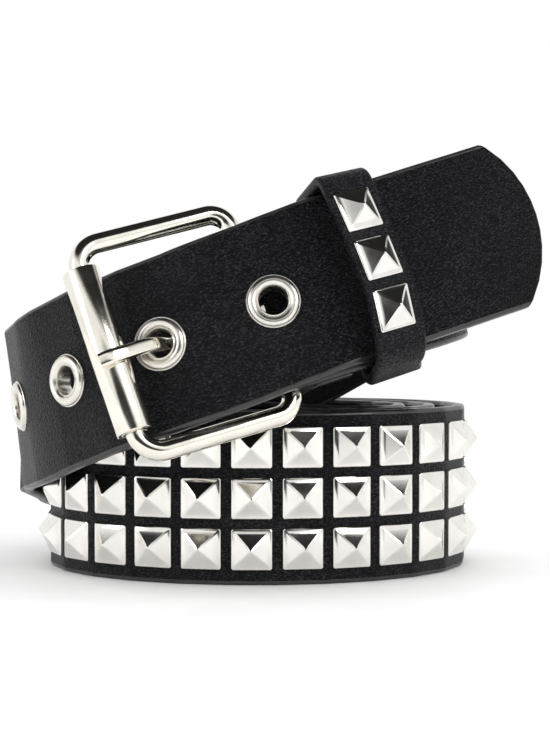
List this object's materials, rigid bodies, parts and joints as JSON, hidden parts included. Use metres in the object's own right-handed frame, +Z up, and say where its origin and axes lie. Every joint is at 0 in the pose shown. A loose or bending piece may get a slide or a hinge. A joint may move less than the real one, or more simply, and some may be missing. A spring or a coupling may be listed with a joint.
{
  "type": "studded belt",
  "caption": "Leather belt with rows of pyramid studs, coiled on edge, its roller buckle fastened through an eyelet and a studded keeper loop.",
  "frame": {"origin": "under the middle of the belt's bounding box, on the surface it stands on", "axes": "+X to the right along the belt's longest way, +Y to the back, away from the buckle, +Z up"},
  "size_m": [0.1242, 0.1052, 0.0973],
  "materials": {
    "strap_leather": "semi-gloss, fine creased grain; the fused studs are bright nickel",
    "keeper_leather": "semi-gloss, fine creased grain",
    "stud_nickel": "mirror polished",
    "eyelet_nickel": "satin",
    "buckle_nickel": "polished",
    "roller_nickel": "finely brushed along its length"
  },
  "bodies": {
    "root": {"strap": "strap_leather", "keeper": "keeper_leather", "keeper_stud_1": "stud_nickel", "keeper_stud_2": "stud_nickel", "keeper_stud_3": "stud_nickel", "eyelet_1": "eyelet_nickel", "eyelet_2": "eyelet_nickel", "eyelet_3": "eyelet_nickel", "eyelet_4": "eyelet_nickel", "eyelet_5": "eyelet_nickel", "eyelet_6": "eyelet_nickel", "eyelet_7": "eyelet_nickel", "fold_rivet_1": "stud_nickel", "fold_rivet_2": "stud_nickel", "buckle_frame": "buckle_nickel", "buckle_roller": "roller_nickel", "buckle_prong": "buckle_nickel"}
  },
  "joints": []
}
